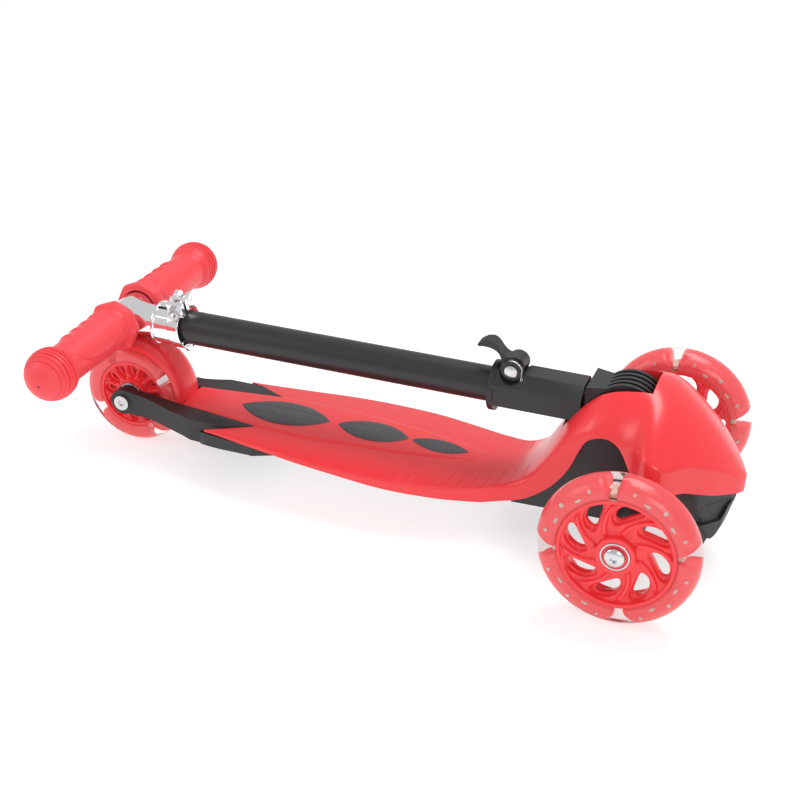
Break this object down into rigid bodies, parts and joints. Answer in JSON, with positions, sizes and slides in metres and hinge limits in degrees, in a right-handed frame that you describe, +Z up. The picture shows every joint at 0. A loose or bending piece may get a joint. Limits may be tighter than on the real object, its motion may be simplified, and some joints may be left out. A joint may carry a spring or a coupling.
{
  "type": "kick scooter",
  "caption": "Folding child's kick scooter: lean-to-steer front wheels, one rear wheel with a fender brake, a telescoping handlebar stem that folds flat over the deck.",
  "frame": {"origin": "on the ground at the middle of the folded scooter's outline", "axes": "+X forward along the deck, +Y to the rider's left, +Z up"},
  "size_m": [0.562, 0.283, 0.1596],
  "materials": {
    "red_plastic": "satin gloss moulded polypropylene",
    "red_grip": "soft matt grip rubber",
    "black_plastic": "fine grained black moulding",
    "grey_rubber": "matt foot pad rubber",
    "black_paint": "satin black powder coat",
    "chrome": "polished chrome plate",
    "steel": "zinc plated steel",
    "nylon": "natural nylon",
    "clear_red_tyre": "translucent red polyurethane",
    "light_unit": "milky plastic with four small lamps"
  },
  "bodies": {
    "deck": {"deck_shell": "red_plastic", "front_housing": "black_plastic", "rear_fork": "black_plastic", "deck_plate": "steel", "pad_rear": "grey_rubber", "pad_middle": "grey_rubber", "pad_front": "grey_rubber", "deck_screws": "steel", "hinge_bracket": "steel", "hinge_pin": "steel", "lock_cam": "steel", "kingpin": "steel", "steering_bushings": "grey_rubber", "rear_axle_bolt": "steel", "rear_axle_spacers": "steel", "brake_pin": "steel", "brake_spring": "steel"},
    "stem": {"stem_socket": "black_plastic", "hinge_knuckle": "black_plastic", "outer_tube": "black_paint", "tube_bush": "nylon", "clamp_collar": "chrome", "clamp_bolt": "steel", "latch_rivet": "steel", "trigger_spring": "steel"},
    "handlebar": {"inner_tube": "chrome", "inner_bush": "nylon", "t_joint": "chrome", "crossbar": "chrome", "grip_left": "red_grip", "grip_right": "red_grip"},
    "lever": {"clamp_lever": "chrome"},
    "trigger": {"latch_trigger": "black_plastic"},
    "plunger": {"lock_plunger": "steel"},
    "truck": {"truck_beam": "black_plastic", "axle_bolts": "steel"},
    "brake": {"fender": "red_plastic"},
    "wheel_left": {"tyre_left": "clear_red_tyre", "rim_left": "red_plastic", "light_ring_left": "light_unit", "bearings_left": "steel", "magnet_left": "steel"},
    "wheel_right": {"tyre_right": "clear_red_tyre", "rim_right": "red_plastic", "light_ring_right": "light_unit", "bearings_right": "steel", "magnet_right": "steel"},
    "wheel_rear": {"tyre_rear": "clear_red_tyre", "rim_rear": "red_plastic", "bearings_rear": "steel", "spacer_rear": "steel"}
  },
  "joints": [
    {"name": "stem_fold", "type": "hinge", "parent": "deck", "child": "stem", "pos_m": [0.1875, 0, 0.115], "axis": [0, 1, 0], "range_deg": [0, 80]},
    {"name": "bar_height", "type": "slide", "parent": "stem", "child": "handlebar", "axis": [-1, 0, 0], "range_m": [0, 0.15]},
    {"name": "clamp_open", "type": "hinge", "parent": "stem", "child": "lever", "pos_m": [-0.19, 0.00336, 0.1376], "axis": [1, 0, 0], "range_deg": [0, 110]},
    {"name": "trigger_pull", "type": "hinge", "parent": "stem", "child": "trigger", "pos_m": [0.0967, 0, 0.133], "axis": [0, 1, 0], "range_deg": [0, 15], "stiffness_Nm_per_rad": 0.4, "springref_deg": -14.32},
    {"name": "plunger_slide", "type": "slide", "parent": "stem", "child": "plunger", "axis": [-1, 0, 0], "range_m": [0, 0.00458]},
    {"name": "truck_lean", "type": "hinge", "parent": "deck", "child": "truck", "pos_m": [0.21, 0, 0.06], "axis": [0.8192, 0, 0.5736], "range_deg": [-12, 12], "stiffness_Nm_per_rad": 25},
    {"name": "wheel_left_spin", "type": "hinge", "parent": "truck", "child": "wheel_left", "pos_m": [0.21, 0.11, 0.06], "axis": [0, 1, 0], "continuous": true},
    {"name": "wheel_right_spin", "type": "hinge", "parent": "truck", "child": "wheel_right", "pos_m": [0.21, -0.11, 0.06], "axis": [0, 1, 0], "continuous": true},
    {"name": "wheel_rear_spin", "type": "hinge", "parent": "deck", "child": "wheel_rear", "pos_m": [-0.236, 0, 0.045], "axis": [0, 1, 0], "continuous": true},
    {"name": "brake_press", "type": "hinge", "parent": "deck", "child": "brake", "pos_m": [-0.1815, 0, 0.04], "axis": [0, -1, 0], "range_deg": [0, 2.2], "stiffness_Nm_per_rad": 2, "springref_deg": -8.59}
  ],
  "couplings": [
    {"joint": "trigger_pull", "follows": "plunger_slide", "rad_per_m": 57.14}
  ]
}
